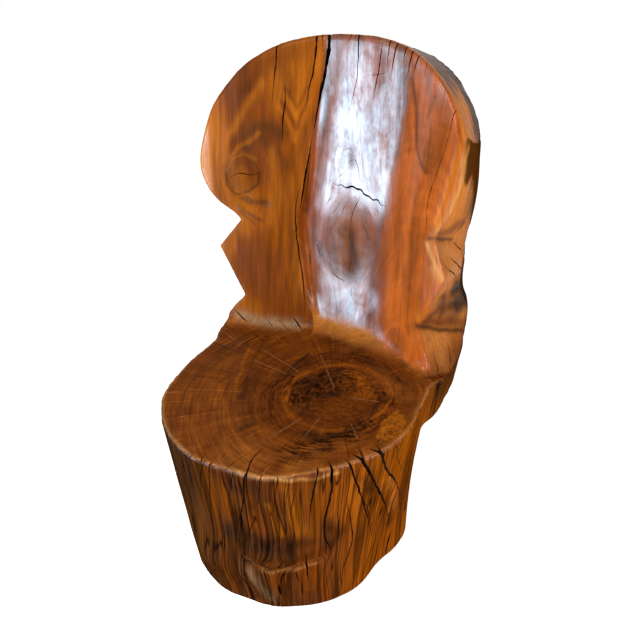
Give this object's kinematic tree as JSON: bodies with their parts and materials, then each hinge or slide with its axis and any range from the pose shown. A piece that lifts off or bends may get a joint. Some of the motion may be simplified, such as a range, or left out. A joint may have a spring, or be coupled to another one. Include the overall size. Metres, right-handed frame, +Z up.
{
  "type": "tree trunk chair",
  "caption": "Chair carved from one length of tree trunk: a round drum with an end-grain seat and a reclined back with a rounded head and notched sides.",
  "frame": {"origin": "on the floor, under the middle of the round seat", "axes": "+Z up, -Y the way the sitter faces, +X to the right of someone who looks at the chair's front"},
  "size_m": [0.6256, 0.7705, 1.0563],
  "materials": {
    "varnished_trunk": "clear gloss varnish",
    "dark_knot": "clear gloss varnish",
    "pale_filler": "pale wood filler under varnish",
    "orange_pocket": "clear gloss varnish"
  },
  "bodies": {
    "root": {"trunk": "varnished_trunk", "knot_back_left": "dark_knot", "knot_back_upper": "dark_knot", "knot_back_centre": "dark_knot", "knot_back_right": "dark_knot", "knot_drum": "dark_knot", "filler_seat_1": "pale_filler", "filler_seat_2": "pale_filler", "filler_seat_3": "pale_filler", "filler_seat_4": "pale_filler", "filler_seat_5": "pale_filler", "filler_seat_6": "pale_filler", "filler_seat_7": "pale_filler", "seat_patch": "orange_pocket"}
  },
  "joints": []
}
